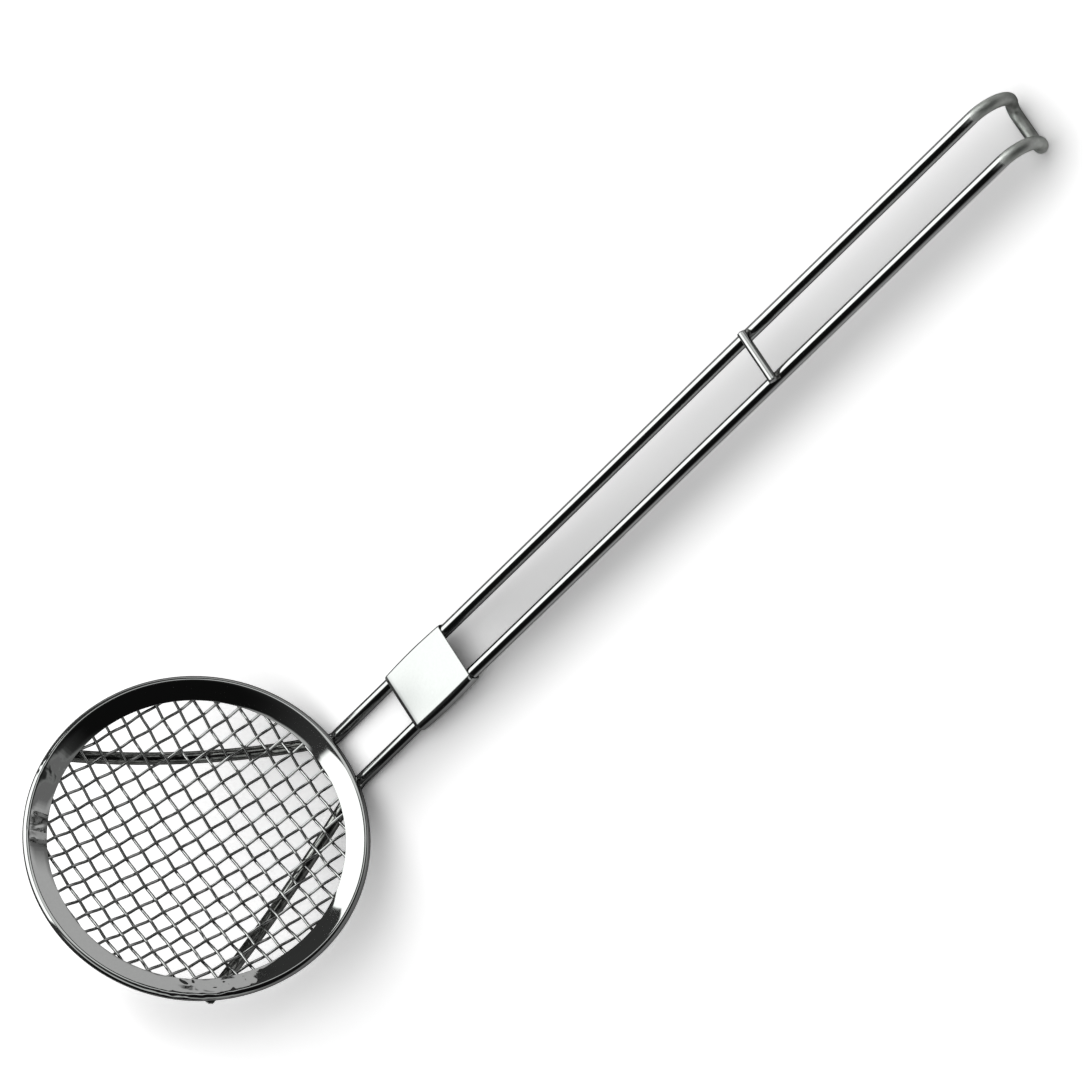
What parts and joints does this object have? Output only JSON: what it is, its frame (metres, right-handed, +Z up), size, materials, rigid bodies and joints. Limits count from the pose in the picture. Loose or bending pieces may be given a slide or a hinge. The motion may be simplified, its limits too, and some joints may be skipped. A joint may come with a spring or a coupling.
{
  "type": "wire skimmer",
  "caption": "Shallow round skimmer of woven crimped wire in a folded sheet rim, on a long two-legged wire handle with a hook at its end and a bare plate round the legs.",
  "frame": {"origin": "on the resting surface, under the middle of the bounding box", "axes": "+X along the handle towards its hook, +Y across, +Z up from the surface that the skimmer lies on"},
  "size_m": [0.4886, 0.1348, 0.1051],
  "materials": {
    "mesh_steel": "bright drawn stainless wire",
    "rim_steel": "polished stainless sheet",
    "handle_steel": "polished stainless wire",
    "plate_steel": "polished stainless sheet, blank"
  },
  "bodies": {
    "root": {"cross_wire": "handle_steel", "handle_wire": "handle_steel", "mesh_across_01": "mesh_steel", "mesh_across_02": "mesh_steel", "mesh_across_03": "mesh_steel", "mesh_across_04": "mesh_steel", "mesh_across_05": "mesh_steel", "mesh_across_06": "mesh_steel", "mesh_across_07": "mesh_steel", "mesh_across_08": "mesh_steel", "mesh_across_09": "mesh_steel", "mesh_across_10": "mesh_steel", "mesh_across_11": "mesh_steel", "mesh_across_12": "mesh_steel", "mesh_across_13": "mesh_steel", "mesh_across_14": "mesh_steel", "mesh_across_15": "mesh_steel", "mesh_across_16": "mesh_steel", "mesh_across_17": "mesh_steel", "mesh_across_18": "mesh_steel", "mesh_along_01": "mesh_steel", "mesh_along_02": "mesh_steel", "mesh_along_03": "mesh_steel", "mesh_along_04": "mesh_steel", "mesh_along_05": "mesh_steel", "mesh_along_06": "mesh_steel", "mesh_along_07": "mesh_steel", "mesh_along_08": "mesh_steel", "mesh_along_09": "mesh_steel", "mesh_along_10": "mesh_steel", "mesh_along_11": "mesh_steel", "mesh_along_12": "mesh_steel", "mesh_along_13": "mesh_steel", "mesh_along_14": "mesh_steel", "mesh_along_15": "mesh_steel", "mesh_along_16": "mesh_steel", "mesh_along_17": "mesh_steel", "mesh_along_18": "mesh_steel", "name_plate": "plate_steel", "rim": "rim_steel"}
  },
  "joints": []
}
